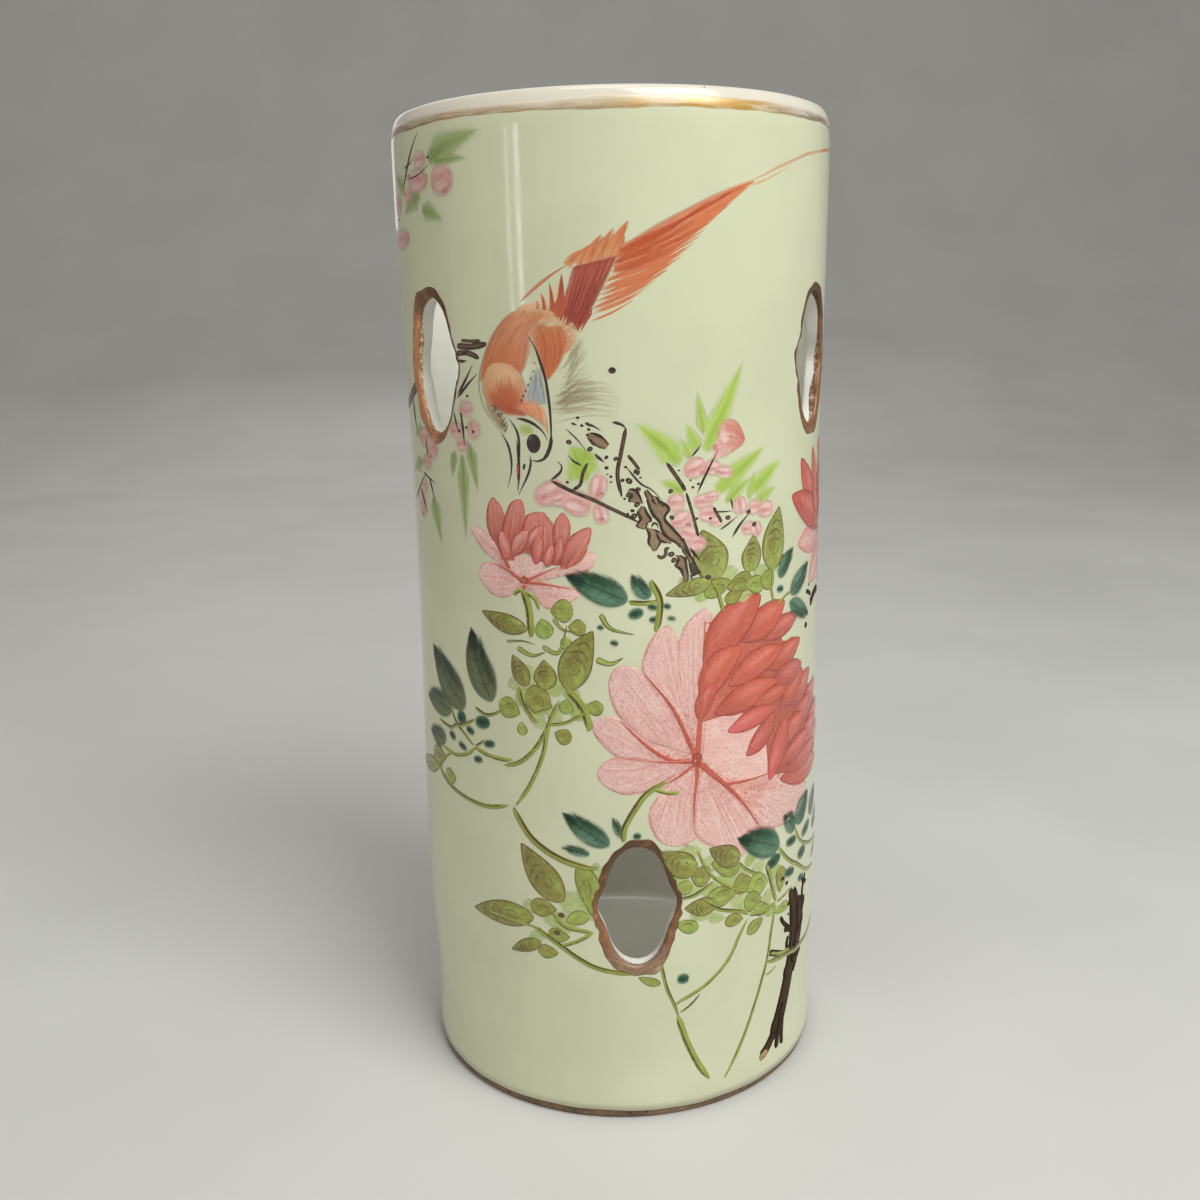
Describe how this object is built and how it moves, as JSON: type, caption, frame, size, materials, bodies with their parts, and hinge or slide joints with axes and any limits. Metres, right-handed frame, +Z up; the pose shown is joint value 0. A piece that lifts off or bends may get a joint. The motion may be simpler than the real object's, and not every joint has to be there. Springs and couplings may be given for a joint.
{
  "type": "porcelain hat stand",
  "caption": "Tall open porcelain cylinder on a low foot, pierced by lobed gilt-edged openings and enamelled with a bird and flowers on a pale green ground, to hold a hat.",
  "frame": {"origin": "centre of the foot's resting plane", "axes": "+Z up along the axis of the cylinder; the front, with the lower middle opening, faces -Y"},
  "size_m": [0.1254, 0.1255, 0.284],
  "materials": {
    "biscuit": "bare fired clay, matt",
    "porcelain": "fired porcelain body",
    "slip": "fired luting slip",
    "green_ground": "pale green enamel ground, glossy",
    "white_glaze": "white glaze, glossy",
    "lip_gold": "worn gilding, satin",
    "border_gilding": "worn brown gilding, satin",
    "bird_enamel": "orange enamel",
    "wing_enamel": "dark red enamel",
    "head_enamel": "grey enamel",
    "tail_enamel": "tan enamel",
    "pink_enamel": "rose enamel",
    "coral_enamel": "coral enamel",
    "green_enamel": "olive green enamel",
    "teal_enamel": "blue green enamel",
    "pale_green_enamel": "pale green enamel",
    "blossom_enamel": "pale rose enamel",
    "brown_enamel": "brown black enamel",
    "stem_enamel": "green enamel"
  },
  "bodies": {
    "root": {"foot_ring": "biscuit", "base_slab": "porcelain", "base_lute": "slip", "lower_wall": "porcelain", "wall_lute": "slip", "upper_wall": "porcelain", "green_ground": "green_ground", "white_glaze": "white_glaze", "lip_gilding": "lip_gold", "lower_front_border": "border_gilding", "lower_right_border": "border_gilding", "lower_left_border": "border_gilding", "upper_left_border": "border_gilding", "upper_right_border": "border_gilding", "upper_rear_border": "border_gilding", "bird_body": "bird_enamel", "bird_wing": "wing_enamel", "bird_head": "head_enamel", "bird_tail": "tail_enamel", "large_peony_petals": "pink_enamel", "large_peony_heart": "coral_enamel", "small_peony_petals": "pink_enamel", "small_peony_heart": "coral_enamel", "side_peony_petals": "coral_enamel", "green_leaves": "green_enamel", "teal_leaves": "teal_enamel", "bamboo_leaves": "pale_green_enamel", "blossom_petals": "blossom_enamel", "blossom_twigs": "brown_enamel", "old_branch": "brown_enamel", "trunk": "brown_enamel", "vine_stems": "stem_enamel"}
  },
  "joints": []
}
